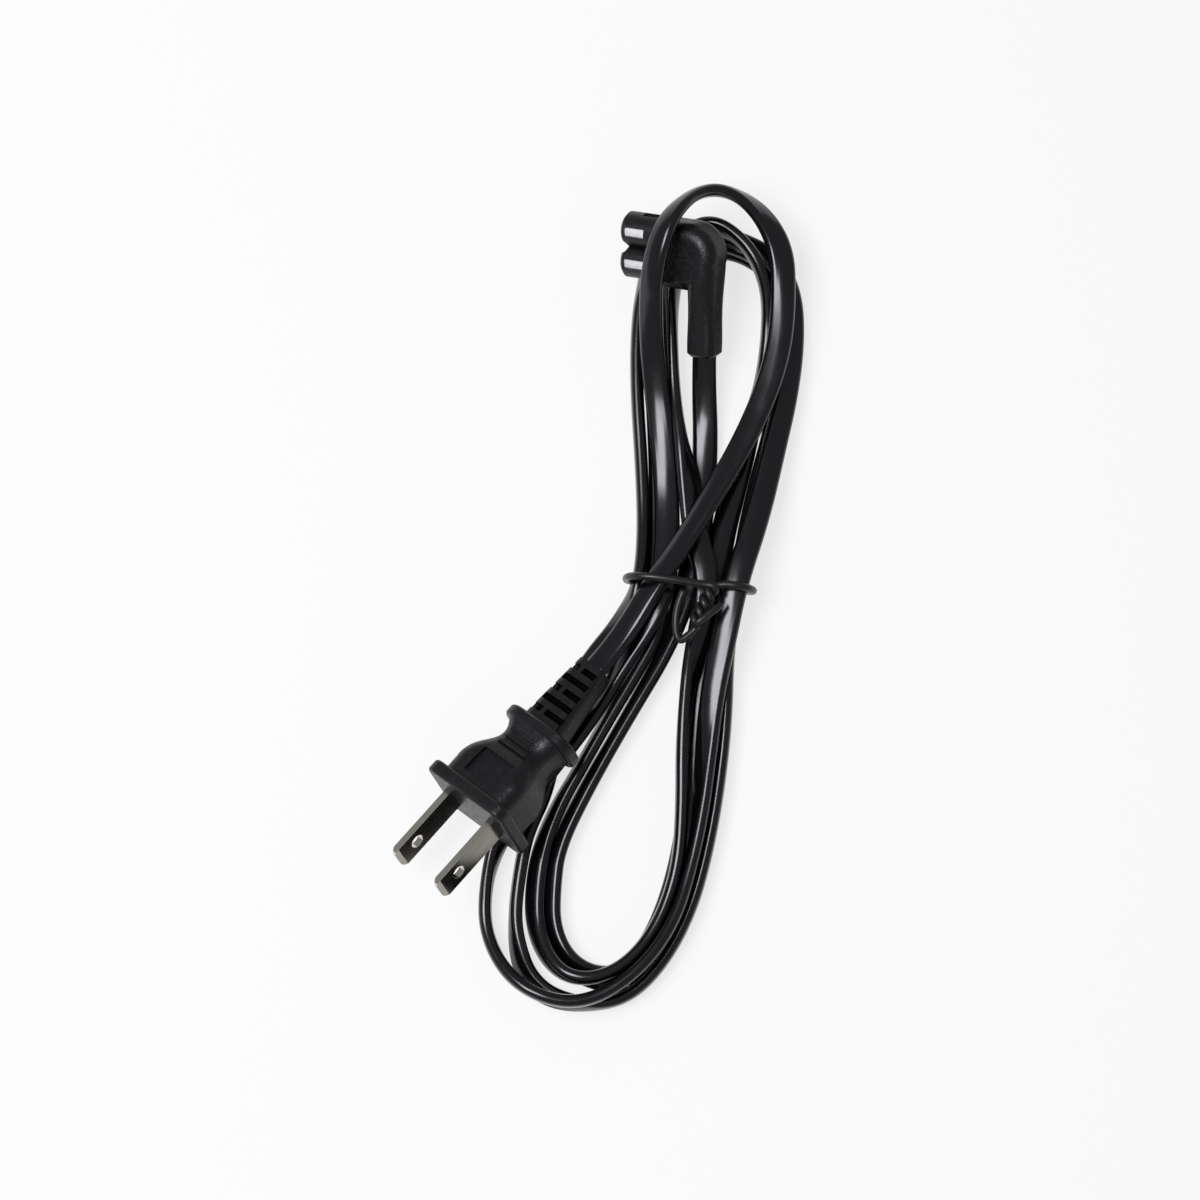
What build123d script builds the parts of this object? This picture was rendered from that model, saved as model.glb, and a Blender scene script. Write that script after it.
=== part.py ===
"""Flat two-core mains cord wound in a tied hank, with a two-blade plug and a right-angle figure-8 connector.

Millimetres, +Z up. The hank lies on the floor and the origin is the bottom centre of the whole part.
"""
import os
from math import atan2, cos, pi, sin, tan

from build123d import *

# Cord
CORD_WIDTH = 5.5
CORD_THICK = 2.9
CORD_ROUND = 0.95
CORE_SPACING = 2.7
CORE_R = 0.6

# Plug, local frame: X across the blades, Y to the top, Z out of the face along the blades
PLUG_FACE_AT = (-26.5, -46.5, 15.2)
PLUG_X = (0.720, -0.526, 0.454)
PLUG_Z = (-0.652, -0.748, 0.125)
FLANGE_WIDTH = 22.2
FLANGE_HEIGHT = 18.4
FLANGE_THICK = 3.1
FLANGE_CORNER_R = 2.6
FLANGE_EDGE = 0.8
BELL_WIDTH = 18.6
BELL_HEIGHT = 15.0
NECK_WIDTH = 12.6
NECK_HEIGHT = 9.8
BELL_CORNER_R = 3.2
BELL_ROOT = 6.5
BELL_STEP = 2.45
FLARE_WIDTH = 17.2
FLARE_HEIGHT = 11.2
COLLAR_START = 20.6
COLLAR_THICK = 2.6
COLLAR_WIDTH = 18.4
COLLAR_HEIGHT = 11.6
RELIEF_END = 40.4
RELIEF_ROOT_WIDTH = 10.8
RELIEF_ROOT_HEIGHT = 8.0
RELIEF_END_WIDTH = 7.5
RELIEF_END_HEIGHT = 5.8
RELIEF_LEAN = 1.3
SLOT_ROWS = 5
SLOT_PITCH = 3.05
SLOT_LENGTH = 1.5
SLOT_DEPTH = 1.9
SLOT_WALL = 0.8
SLOT_BRIDGE = 1.1
SLOT_FIRST = 1.7
RIDGE_ROWS = 3
RIDGE_PITCH = 1.8
RIDGE_WIDTH = 8.0
RIDGE_THICK = 0.6
RIDGE_HEIGHT = 0.4
RIDGE_FIRST = 14.8
PANEL_WIDTH = 8.8
PANEL_LENGTH = 6.6
PANEL_DEPTH = 0.4

# Blades
BLADE_SPACING = 12.7
BLADE_WIDTH = 6.35
BLADE_THICK = 1.5
BLADE_LENGTH = 17.8
BLADE_HOLE_R = 1.6
BLADE_HOLE_AT = 12.2
BLADE_TIP_R = 1.5
BLADE_TAIL_WIDTH = 4.0
BLADE_TAIL_END = 8.0
CRIMP_R = 1.4
CRIMP_END = 10.8
BRIDGE_WIDTH = 16.6
BRIDGE_HEIGHT = 8.0
BRIDGE_FROM = 1.6
BRIDGE_TO = 6.4

# Connector, local frame: X to the nose tip, Y along the boot, Z out of the broad face
CONN_AT = (21.9, 72.95, 17.8)
CONN_NOSE = (-0.858, 0.245, -0.450)
CONN_UP = (-0.5125, -0.3948, 0.762)
NOSE_R = 3.85
NOSE_HALF = 3.4
NOSE_TIP = 18.4
NOSE_EDGE = 0.6
HEAD_R = 7.1
HEAD_AT = (2.2, 0.1)
HEAD_FRONT = 9.4
HEAD_LOW = 7.8
HEAD_THICK = 9.0
HEAD_EDGE = 3.0
HEAD_CORNER_R = 1.6
NOTCH_R = 1.5
BOOT_AT = -1.05
BOOT_WIDTH = 6.4
BOOT_THICK = 6.4
BOOT_CORNER_R = 1.8
BOOT_END = 22.2
BOOT_EDGE = 0.7
PAD_R = 5.6
PAD_DEPTH = 0.3
PAD_AT = (7.0, 0.6)
SHELL_WALL = 0.75
WINDOW_FROM = 12.5
WINDOW_TO = 17.5
WINDOW_AT = 3.5
WINDOW_WIDTH = 2.0
SIDE_FROM = 9.9
SIDE_TO = 14.1
SIDE_WIDTH = 1.8
SIDE_RISE = 0.5
INSERT_START = 8.0
PIN_SPACING = 8.6
SOCKET_BORE_R = 1.25
SOCKET_OUTER_R = 1.65
SOCKET_START = 9.0
SOCKET_MOUTH = 17.0
SOCKET_FLOOR = 0.6
SOCKET_TAIL = 5.6
SOCKET_TAIL_R = 1.0

# Tie wire and its twist
TIE_R = 0.85
TWIST_TURNS = 1.75
TWIST_FROM = (23.8, 1.2, 12.8)
TWIST_TO = (20.6, -5.8, 12.2)

# Route of the cord between its two ends: x, y, height and roll, 0 on edge and 90 flat
ROUTE = [
    # lead from the connector down through the tie
    (23.0, 35.5, 1.8, 94), (22.0, 20.5, 2.2, 90), (19.5, 5.5, 4.3, 100), (15.0, -10.0, 3.3, 150),
    (6.5, -25.5, 2.9, 180), (-1.5, -40.0, 2.8, 180), (-7.0, -53.0, 2.8, 180),
    # first bottom loop
    (-9.5, -62.0, 2.8, 180), (-10.0, -69.5, 2.8, 180), (-8.0, -76.0, 3.0, 170), (-3.5, -79.5, 2.8, 128),
    (2.0, -80.5, 1.7, 95), (7.0, -77.5, 1.5, 90), (11.5, -70.5, 1.5, 90), (15.5, -60.0, 1.5, 90),
    (19.0, -45.5, 1.5, 90), (21.5, -31.0, 1.5, 90), (22.5, -18.0, 1.5, 90), (23.5, -6.5, 2.2, 90),
    (25.0, 4.5, 4.1, 90),
    # second top loop
    (27.0, 14.5, 2.4, 88), (29.0, 25.0, 2.1, 75), (32.0, 36.0, 2.9, 40), (35.0, 47.5, 2.8, 5),
    (36.5, 58.0, 3.6, 0), (36.5, 67.0, 6.8, 0), (34.0, 74.0, 9.2, 0), (30.0, 79.0, 9.1, 0),
    (25.0, 81.5, 9.2, 30), (20.5, 80.5, 8.3, 70), (17.0, 76.0, 6.7, 85), (16.0, 68.5, 5.3, 52),
    (16.0, 57.5, 5.2, 0), (16.5, 46.0, 4.2, 0), (18.0, 35.0, 5.6, 8), (20.0, 25.0, 5.7, 55),
    (22.0, 14.0, 6.0, 88), (23.5, 4.0, 7.5, 90),
    # second bottom loop
    (21.5, -7.5, 5.7, 75), (18.5, -19.5, 5.7, 10), (17.5, -32.0, 5.8, 0), (17.0, -44.0, 5.8, 0),
    (15.5, -56.0, 5.8, 0), (12.5, -65.5, 5.8, 0), (8.5, -73.0, 6.2, 0), (3.5, -78.0, 6.9, 0),
    (-2.0, -80.5, 7.4, 0), (-7.5, -80.0, 6.9, 0), (-12.0, -76.0, 4.8, 0), (-14.5, -69.0, 3.0, 0),
    (-14.5, -61.0, 2.8, 0), (-12.5, -53.0, 2.8, 0), (-9.0, -44.5, 2.8, 0), (-3.5, -35.5, 2.8, 0),
    (1.5, -26.0, 2.8, 0), (7.5, -15.5, 2.8, 8), (12.0, -6.5, 3.2, 38), (13.0, 4.5, 4.2, 82),
    # top loop on the floor
    (14.0, 15.5, 2.2, 90), (13.5, 31.0, 1.5, 90), (12.5, 48.0, 1.5, 90), (12.5, 61.0, 1.5, 90),
    (15.5, 71.0, 1.5, 90), (20.0, 75.5, 1.5, 90), (26.0, 77.0, 1.5, 90), (32.5, 75.5, 1.5, 90),
    (38.5, 72.0, 1.5, 90), (41.5, 65.0, 1.5, 90), (41.5, 55.5, 1.5, 90), (40.0, 45.5, 1.7, 85),
    (37.5, 34.5, 2.4, 70), (34.0, 22.0, 2.9, 35), (31.0, 12.0, 3.6, 5), (29.5, 3.0, 5.5, 0),
    # third bottom loop
    (27.5, -10.5, 3.3, 0), (27.0, -27.0, 2.8, 0), (25.0, -43.0, 2.8, 0), (22.5, -55.5, 2.8, 0),
    (19.5, -66.0, 2.8, 0), (14.5, -76.0, 2.8, 0), (7.5, -83.5, 2.8, 0), (0.0, -86.5, 2.8, 0),
    (-7.0, -85.5, 2.8, 0), (-12.5, -81.0, 2.8, 0), (-16.5, -74.5, 2.8, 0), (-18.5, -67.5, 2.8, 0),
    (-17.5, -58.5, 2.8, 0), (-15.5, -50.0, 3.0, 6), (-12.5, -40.5, 2.4, 72), (-10.5, -31.0, 1.6, 90),
    (-7.0, -22.0, 1.5, 90), (-1.5, -13.0, 1.7, 85), (4.5, -5.5, 3.4, 50), (8.5, 3.5, 5.8, 0),
    # third top loop
    (9.5, 15.5, 3.3, 0), (9.0, 30.0, 2.8, 0), (8.0, 45.5, 2.8, 0), (8.0, 58.5, 2.8, 0),
    (9.0, 68.0, 2.8, 5), (11.5, 75.0, 2.8, 40), (16.0, 79.0, 3.8, 80), (23.0, 80.5, 4.5, 90),
    (30.5, 78.0, 4.6, 90), (37.5, 74.0, 4.6, 90), (41.5, 67.5, 4.6, 90), (42.0, 57.0, 4.6, 90),
    (40.5, 45.0, 4.9, 90), (37.5, 32.5, 5.7, 90), (34.0, 18.0, 7.8, 90), (29.0, 3.0, 10.0, 90),
    # front bottom loop
    (26.5, -9.0, 8.0, 100), (24.0, -20.5, 6.4, 125), (22.5, -33.5, 5.9, 150), (21.0, -46.5, 5.8, 175),
    (18.5, -57.5, 5.9, 180), (15.0, -68.5, 7.0, 180), (9.0, -77.5, 8.6, 180), (1.0, -84.0, 8.8, 180),
    (-7.0, -86.0, 8.8, 180), (-15.0, -83.5, 8.0, 180), (-21.0, -78.5, 4.8, 180), (-24.5, -70.5, 2.9, 180),
    (-24.5, -62.0, 2.8, 180), (-22.5, -53.5, 3.2, 158), (-18.5, -46.0, 5.5, 115), (-13.0, -38.5, 5.9, 100),
    (-7.5, -31.5, 5.4, 78), (-2.5, -24.5, 4.4, 42), (1.0, -19.5, 3.2, 22), (4.5, -14.0, 3.8, 30),
    (9.0, -7.0, 6.5, 65), (13.0, 0.0, 8.0, 85), (14.5, 9.5, 6.4, 90),
    # front top loop over the connector's nose
    (14.5, 21.0, 4.6, 90), (14.0, 31.5, 5.0, 90), (12.5, 42.5, 6.0, 90), (11.0, 53.0, 9.4, 90),
    (10.5, 61.5, 14.8, 90), (10.5, 68.5, 21.0, 92), (12.0, 76.0, 24.2, 92), (15.0, 82.0, 23.6, 74),
    (20.0, 86.5, 19.0, 25), (25.5, 88.0, 15.8, 5), (31.0, 86.5, 13.2, 0), (35.5, 82.0, 11.2, 10),
    (38.5, 75.0, 10.2, 30), (39.5, 66.0, 9.6, 60), (39.0, 56.0, 9.2, 80), (36.5, 46.5, 9.0, 90),
    (32.5, 37.0, 8.8, 98), (28.0, 28.5, 9.0, 102), (22.5, 19.5, 9.4, 102), (17.0, 10.5, 9.6, 100),
    (11.5, 2.5, 11.4, 102),
]

# Loop of the tie round the bundle, from the twist and back to it
TIE_LOOP = [
    (19.5, 2.4, 13.8), (14.0, 3.4, 14.4), (9.8, 3.9, 14.0), (6.8, 4.0, 12.2), (5.7, 4.3, 8.2), (5.6, 4.6, 3.4),
    (7.4, 4.7, 1.0), (11.8, 4.5, 0.9), (19.5, 4.1, 0.9), (28.0, 3.2, 0.9), (31.4, 2.6, 1.3),
    (32.7, 1.8, 4.6), (32.9, 1.2, 9.0), (31.6, 0.9, 12.4), (29.0, 1.2, 12.9), (26.4, 1.4, 12.0),
]
TIE_TAIL = [(19.4, -9.2, 12.4), (17.2, -10.6, 12.2), (15.4, -7.8, 12.6), (16.2, -3.6, 13.4), (17.0, -0.4, 14.6)]
TIE_END = [(22.2, -5.0, 13.7), (25.4, -2.6, 13.2)]


def smooth(points, cut=0.45):
    """Straight runs joined by tangent arcs: centre points, travel and the source point of each section."""
    points = [Vector(*p) for p in points]
    out = [(points[0], (points[1] - points[0]).normalized(), 0)]
    radii = []
    turns = []
    length = 0.0
    last = points[0]
    for i in range(1, len(points) - 1):
        before = points[i] - points[i - 1]
        after = points[i + 1] - points[i]
        turn = before.get_angle(after) * pi / 180
        reach = cut * min(before.length, after.length)
        radius = reach / tan(turn / 2)
        radii.append(radius)
        turns.append(turn * 180 / pi)
        start = points[i] - before.normalized() * reach
        end = points[i] + after.normalized() * reach
        out.append((start, before.normalized(), i))
        if turn > 0.26:
            inward = (after.normalized() - before.normalized()).normalized()
            depth = radius * (1 / cos(turn / 2) - 1)
            out.append((points[i] + inward * depth, (before.normalized() + after.normalized()).normalized(), i))
        out.append((end, after.normalized(), i))
        length += (start - last).length + radius * turn
        last = end
    length += (points[-1] - last).length
    out.append((points[-1], (points[-1] - points[-2]).normalized(), len(points) - 1))
    return out, length, radii, turns


def flat_outline(width, thick, rounding):
    """Eight-sided oblong: the flat cord's section."""
    a, b = width / 2, thick / 2
    return [(a, b - rounding), (a - rounding, b), (rounding - a, b), (-a, b - rounding),
            (-a, rounding - b), (rounding - a, -b), (a - rounding, -b), (a, rounding - b)]


def flat_run(points, rolls, outline):
    """Ruled body of a flat section carried along the route, rolled about its travel."""
    stations, length, radii, turns = smooth(points)
    travelled = [0.0]
    for one, two in zip(stations, stations[1:]):
        travelled.append(travelled[-1] + (two[0] - one[0]).length)
    sections = []
    for at, travel, i in stations:
        up = (Vector(0, 0, 1) - travel * travel.Z).normalized()
        side = travel.cross(up)
        angle = rolls[i] * pi / 180
        wide = up * cos(angle) + side * sin(angle)
        sections.append(Plane(origin=at, x_dir=wide, z_dir=travel) * Polygon(*outline, align=None))
    return loft(sections, ruled=True), length, radii, turns


def wire_run(points, radius):
    """Ruled body of a round wire carried along the route without twist."""
    stations, length, radii, turns = smooth(points)
    outline = [(radius * cos(pi * k / 4), radius * sin(pi * k / 4)) for k in range(8)]
    normal = Vector(0.2, 1.0, 0.1)
    sections = []
    for at, travel, i in stations:
        normal = (normal - travel * normal.dot(travel)).normalized()
        sections.append(Plane(origin=at, x_dir=normal, z_dir=travel) * Polygon(*outline, align=None))
    return loft(sections, ruled=True), length, radii, turns


def tapered(levels):
    """Loft through rounded rectangles: level, sideways shift, width, height, corner radius."""
    return loft([Pos(shift, 0, z) * RectangleRounded(w, h, r) for z, shift, w, h, r in levels])


def core(points):
    """Bared core of the cord between its end and a contact."""
    line = FilletPolyline(*points, radius=2.4)
    return sweep(Plane(origin=line @ 0, z_dir=line % 0) * RegularPolygon(CORE_R, 8), path=line)


PLUG_AT = Plane(origin=PLUG_FACE_AT, x_dir=PLUG_X, z_dir=PLUG_Z)
CONN_PLANE = Plane(origin=CONN_AT, x_dir=CONN_NOSE, z_dir=CONN_UP)

# Blades with crimped tails
def blade(side):
    x = side * BLADE_SPACING / 2
    half = BLADE_WIDTH / 2
    tail = BLADE_TAIL_WIDTH / 2
    outline = Polygon(
        (-half, -BRIDGE_FROM - 1.2), (-half, BLADE_LENGTH), (half, BLADE_LENGTH), (half, -BRIDGE_FROM - 1.2),
        (tail, -BRIDGE_FROM - 1.2), (tail, -BLADE_TAIL_END), (-tail, -BLADE_TAIL_END),
        (-tail, -BRIDGE_FROM - 1.2), align=None)
    outline = fillet(outline.vertices().group_by(Axis.Y)[-1], BLADE_TIP_R)
    face = Plane.YZ * outline
    t = BLADE_THICK / 2
    edge = Plane.XZ * Polygon(
        (-t, -BLADE_TAIL_END), (t, -BLADE_TAIL_END), (t, BLADE_LENGTH - 1.2), (t - 0.45, BLADE_LENGTH),
        (0.45 - t, BLADE_LENGTH), (-t, BLADE_LENGTH - 1.2), align=None)
    body = extrude(face, t, both=True) & extrude(edge, BLADE_WIDTH, both=True)
    body -= Pos(0, 0, BLADE_HOLE_AT) * Rot(0, 90, 0) * Cylinder(BLADE_HOLE_R, 4 * BLADE_THICK)
    body += Pos(0, 0, -(BLADE_TAIL_END + CRIMP_END) / 2) * Cylinder(CRIMP_R, CRIMP_END - BLADE_TAIL_END)
    return Pos(x, 0, 0) * body


blade_left = blade(-1)
blade_right = blade(1)


def plug_core(side):
    x = side * BLADE_SPACING / 2
    end = side * CORE_SPACING / 2
    return core([(x, 0, -CRIMP_END), (x, 0, -CRIMP_END - 1.3), (end - RELIEF_LEAN, 0, -COLLAR_START),
                 (end - RELIEF_LEAN, 0, -RELIEF_END)])


plug_core_left = plug_core(-1)
plug_core_right = plug_core(1)
plug_bridge = Pos(0, 0, -(BRIDGE_FROM + BRIDGE_TO) / 2) * Box(
    BRIDGE_WIDTH, BRIDGE_HEIGHT, BRIDGE_TO - BRIDGE_FROM)
plug_bridge -= blade_left
plug_bridge -= blade_right

# Moulded plug body
flange = extrude(RectangleRounded(FLANGE_WIDTH, FLANGE_HEIGHT, FLANGE_CORNER_R), -FLANGE_THICK)
flange = fillet(flange.edges().group_by(Axis.Z)[-1] + flange.edges().group_by(Axis.Z)[0], FLANGE_EDGE)
bell_levels = [
    (-BELL_ROOT, 0, BELL_WIDTH, BELL_HEIGHT, BELL_CORNER_R),
    (-BELL_ROOT - BELL_STEP, 0, BELL_WIDTH - 0.2, BELL_HEIGHT - 0.2, BELL_CORNER_R),
    (-BELL_ROOT - 2 * BELL_STEP, 0, BELL_WIDTH - 1.4, BELL_HEIGHT - 1.2, 3.6),
    (-BELL_ROOT - 3 * BELL_STEP, 0, (BELL_WIDTH + NECK_WIDTH) / 2 - 0.7, (BELL_HEIGHT + NECK_HEIGHT) / 2 - 0.7, 3.8),
    (-BELL_ROOT - 4 * BELL_STEP, 0, NECK_WIDTH + 0.3, NECK_HEIGHT + 0.2, 3.7),
    (-BELL_ROOT - 5 * BELL_STEP, 0, NECK_WIDTH + 0.6, NECK_HEIGHT + 0.2, 3.6),
    (-BELL_ROOT - 6 * BELL_STEP, 0, FLARE_WIDTH, FLARE_HEIGHT, 4.2)]
bell_root = extrude(RectangleRounded(BELL_WIDTH, BELL_HEIGHT, BELL_CORNER_R), FLANGE_THICK - 0.4 - BELL_ROOT)
bell_root = Pos(0, 0, -FLANGE_THICK + 0.4) * bell_root
bell = tapered(bell_levels)
ridge_skin = tapered([(z, x, w, h + 2 * RIDGE_HEIGHT, r) for z, x, w, h, r in bell_levels])
collar = Pos(0, 0, -COLLAR_START - COLLAR_THICK) * extrude(
    RectangleRounded(COLLAR_WIDTH, COLLAR_HEIGHT, COLLAR_HEIGHT / 2 - 1.4), COLLAR_THICK)
collar = chamfer(collar.edges().group_by(Axis.Z)[-1] + collar.edges().group_by(Axis.Z)[0], 0.45)
relief_top = COLLAR_START + COLLAR_THICK - 0.4
relief = tapered([
    (-relief_top, -RELIEF_LEAN * 0.25, RELIEF_ROOT_WIDTH, RELIEF_ROOT_HEIGHT, 2.4),
    ((-relief_top - RELIEF_END) / 2, -RELIEF_LEAN * 0.63, (RELIEF_ROOT_WIDTH + RELIEF_END_WIDTH) / 2,
     (RELIEF_ROOT_HEIGHT + RELIEF_END_HEIGHT) / 2, 2.1),
    (-RELIEF_END, -RELIEF_LEAN, RELIEF_END_WIDTH, RELIEF_END_HEIGHT, 1.8)])
plug_housing = flange + bell_root + bell + collar + relief
for k in range(RIDGE_ROWS):
    ridge_z = -RIDGE_FIRST - k * RIDGE_PITCH
    plug_housing += ridge_skin & (Pos(0, BELL_HEIGHT / 2, ridge_z) * Box(RIDGE_WIDTH, BELL_HEIGHT, RIDGE_THICK))
panel_y = BELL_HEIGHT / 2 - PANEL_DEPTH
panel = Plane.YZ * Polygon((panel_y - 0.05, -4.9), (panel_y + 3, -4.9), (panel_y + 3, -4.9 - PANEL_LENGTH),
                           (panel_y - 0.8, -4.9 - PANEL_LENGTH), align=None)
plug_housing -= extrude(panel, PANEL_WIDTH / 2, both=True)
for k in range(SLOT_ROWS):
    row_z = -RELIEF_END + SLOT_FIRST + SLOT_LENGTH / 2 + k * SLOT_PITCH
    share = (RELIEF_END + row_z) / (RELIEF_END - relief_top)
    middle = -RELIEF_LEAN * (1 - 0.75 * share)
    width = RELIEF_END_WIDTH + (RELIEF_ROOT_WIDTH - RELIEF_END_WIDTH) * share - 2 * SLOT_WALL
    height = RELIEF_END_HEIGHT + (RELIEF_ROOT_HEIGHT - RELIEF_END_HEIGHT) * share
    if k % 2 == 0:
        bridge_x = -0.14 * width
        spans = [(-width / 2 - SLOT_WALL - 0.5, bridge_x - SLOT_BRIDGE / 2),
                 (bridge_x + SLOT_BRIDGE / 2, width / 2)]
    else:
        spans = [(-width / 2, width / 2)]
    for low, high in spans:
        for side in (-1, 1):
            y = side * (height / 2 - SLOT_DEPTH + 2.0)
            plug_housing -= Pos(middle + (low + high) / 2, y, row_z) * Box(high - low, 4.0, SLOT_LENGTH)
for inner in (plug_bridge, blade_left, blade_right, plug_core_left, plug_core_right):
    plug_housing -= inner

# Connector contacts, cores and insert
def socket(side):
    y = side * PIN_SPACING / 2
    tube = Pos((SOCKET_START + SOCKET_MOUTH) / 2, y, 0) * Rot(0, 90, 0) * Cylinder(
        SOCKET_OUTER_R, SOCKET_MOUTH - SOCKET_START)
    tube += Pos((SOCKET_TAIL + SOCKET_START) / 2, y, 0) * Rot(0, 90, 0) * Cylinder(
        SOCKET_TAIL_R, SOCKET_START - SOCKET_TAIL)
    bore = Pos((SOCKET_START + SOCKET_FLOOR + SOCKET_MOUTH) / 2, y, 0) * Rot(0, 90, 0) * Cylinder(
        SOCKET_BORE_R, SOCKET_MOUTH - SOCKET_START - SOCKET_FLOOR)
    return tube - bore


def lobes(radius, start, end, edge=0.0):
    both = Part()
    for side in (-1, 1):
        lobe = Pos((start + end) / 2, side * NOSE_HALF, 0) * Rot(0, 90, 0) * Cylinder(radius, end - start)
        if edge > 0:
            lobe = chamfer(lobe.edges().group_by(Axis.X)[-1], edge)
        both += lobe
    return both


socket_upper = socket(-1)
socket_lower = socket(1)
half_core = CORE_SPACING / 2
core_upper = core([(SOCKET_TAIL, -PIN_SPACING / 2, 0), (BOOT_AT - half_core, -PIN_SPACING / 2, 0),
                   (BOOT_AT - half_core, BOOT_END, 0)])
core_lower = core([(SOCKET_TAIL, PIN_SPACING / 2, 0), (BOOT_AT + half_core, PIN_SPACING / 2, 0),
                   (BOOT_AT + half_core, BOOT_END, 0)])
front = SHELL_WALL
waist = (NOSE_R ** 2 - NOSE_HALF ** 2) ** 0.5
connector_insert = lobes(NOSE_R - SHELL_WALL, INSERT_START, NOSE_TIP - front)
connector_insert += Pos((INSERT_START + NOSE_TIP - front) / 2, 0, 0) * Box(
    NOSE_TIP - front - INSERT_START, 2 * NOSE_HALF, 2 * (waist - SHELL_WALL))
connector_insert -= Pos(NOSE_TIP + 0.2, 0, 0) * Cylinder(NOTCH_R + SHELL_WALL, 4 * NOSE_R)
for side in (-1, 1):
    connector_insert -= Pos(NOSE_TIP, side * PIN_SPACING / 2, 0) * Rot(0, 90, 0) * Cylinder(
        SOCKET_BORE_R, 2 * (NOSE_TIP - SOCKET_START - SOCKET_FLOOR))
    connector_insert -= Pos((SOCKET_START + SOCKET_MOUTH) / 2, side * PIN_SPACING / 2, 0) * Rot(
        0, 90, 0) * Cylinder(SOCKET_OUTER_R, SOCKET_MOUTH - SOCKET_START)
    connector_insert -= Pos((SOCKET_TAIL + SOCKET_START) / 2, side * PIN_SPACING / 2, 0) * Rot(
        0, 90, 0) * Cylinder(SOCKET_TAIL_R, SOCKET_START - SOCKET_TAIL)

# Connector body
nose = lobes(NOSE_R, HEAD_FRONT - 3.0, NOSE_TIP, NOSE_EDGE)
head_plan = Pos(*HEAD_AT) * Circle(HEAD_R)
head_plan += Pos((HEAD_AT[0] + HEAD_FRONT) / 2, (HEAD_AT[1] - HEAD_R + HEAD_LOW) / 2) * Rectangle(
    HEAD_FRONT - HEAD_AT[0], HEAD_LOW + HEAD_R - HEAD_AT[1])
head_plan = fillet(head_plan.vertices().group_by(Axis.X)[-1], HEAD_CORNER_R)
head = Pos(0, 0, -HEAD_THICK / 2) * extrude(head_plan, HEAD_THICK)
head = fillet(head.faces().sort_by(Axis.Z)[-1].edges() + head.faces().sort_by(Axis.Z)[0].edges(), HEAD_EDGE)


def boot_level(y, width, thick, corner):
    return Pos(BOOT_AT, y, 0) * Rot(90, 0, 0) * RectangleRounded(width, thick, corner)


boot = loft([
    boot_level(0, BOOT_WIDTH + 0.8, HEAD_THICK - 0.3, HEAD_EDGE),
    boot_level(HEAD_LOW - 1.6, BOOT_WIDTH + 0.6, HEAD_THICK - 0.6, HEAD_EDGE),
    boot_level(HEAD_LOW + 2.6, BOOT_WIDTH + 0.2, (BOOT_THICK + HEAD_THICK) / 2 - 0.5,
               (HEAD_EDGE + BOOT_CORNER_R) / 2),
    boot_level(HEAD_LOW + 6.6, BOOT_WIDTH, BOOT_THICK + 0.1, BOOT_CORNER_R),
    boot_level(BOOT_END, BOOT_WIDTH, BOOT_THICK, BOOT_CORNER_R)])
boot = chamfer(boot.faces().sort_by(Axis.Y)[-1].edges(), BOOT_EDGE)
connector_housing = head + nose + boot
connector_housing -= Pos(NOSE_TIP + 0.2, 0, 0) * Cylinder(NOTCH_R, 4 * NOSE_R)
connector_housing -= Pos(PAD_AT[0], PAD_AT[1], HEAD_THICK / 2 - PAD_DEPTH) * extrude(Circle(PAD_R), HEAD_THICK)
window_mid = (WINDOW_FROM + WINDOW_TO) / 2
side_mid = (SIDE_FROM + SIDE_TO) / 2
for side in (-1, 1):
    connector_housing -= Pos(window_mid, side * WINDOW_AT, NOSE_R) * Box(
        WINDOW_TO - WINDOW_FROM, WINDOW_WIDTH, 2.8)
    connector_housing -= Pos(side_mid, side * (NOSE_HALF + NOSE_R), SIDE_RISE) * Box(
        SIDE_TO - SIDE_FROM, 2 * SHELL_WALL + 0.6, SIDE_WIDTH)
    connector_housing -= Pos(NOSE_TIP, side * PIN_SPACING / 2, 0) * Rot(0, 90, 0) * Cylinder(
        SOCKET_BORE_R, 2 * (NOSE_TIP - SOCKET_START - SOCKET_FLOOR))
connector_housing -= connector_insert
for inner in (socket_upper, socket_lower, core_upper, core_lower):
    connector_housing -= inner

# Cord between the boot and the strain relief
boot_end = CONN_PLANE.from_local_coords(Vector(BOOT_AT, BOOT_END, 0))
boot_way = CONN_PLANE.y_dir
relief_end = PLUG_AT.from_local_coords(Vector(-RELIEF_LEAN, 0, -RELIEF_END))
plug_way = PLUG_AT.z_dir


def roll_to(travel, wide, near):
    """Roll that lays the flat section's width along a direction, within a quarter turn of a near roll."""
    up = (Vector(0, 0, 1) - travel * travel.Z).normalized()
    roll = atan2(wide.dot(travel.cross(up)), wide.dot(up)) * 180 / pi
    return roll + 180 * round((near - roll) / 180)


boot_roll = roll_to(boot_way, CONN_PLANE.x_dir, ROUTE[0][3])
plug_roll = roll_to(plug_way, PLUG_AT.x_dir, ROUTE[-1][3])
boot_next = boot_end + boot_way * 6.5
relief_last = relief_end - plug_way * 8.0
knots = [tuple(boot_end), tuple(boot_next)] + [q[:3] for q in ROUTE] + [tuple(relief_last), tuple(relief_end)]
rolls = [boot_roll, boot_roll - 4] + [q[3] for q in ROUTE] + [plug_roll, plug_roll]
section = flat_outline(CORD_WIDTH, CORD_THICK, CORD_ROUND)
cord, cord_length, cord_radii, cord_turns = flat_run(knots, rolls, section)

# Tie wire: loop round the bundle, then both ends twisted together
axis_from = Vector(*TWIST_FROM)
axis = Vector(*TWIST_TO) - axis_from
along = axis.normalized()
across = along.cross(Vector(0, 0, 1)).normalized()
above = across.cross(along)


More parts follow.
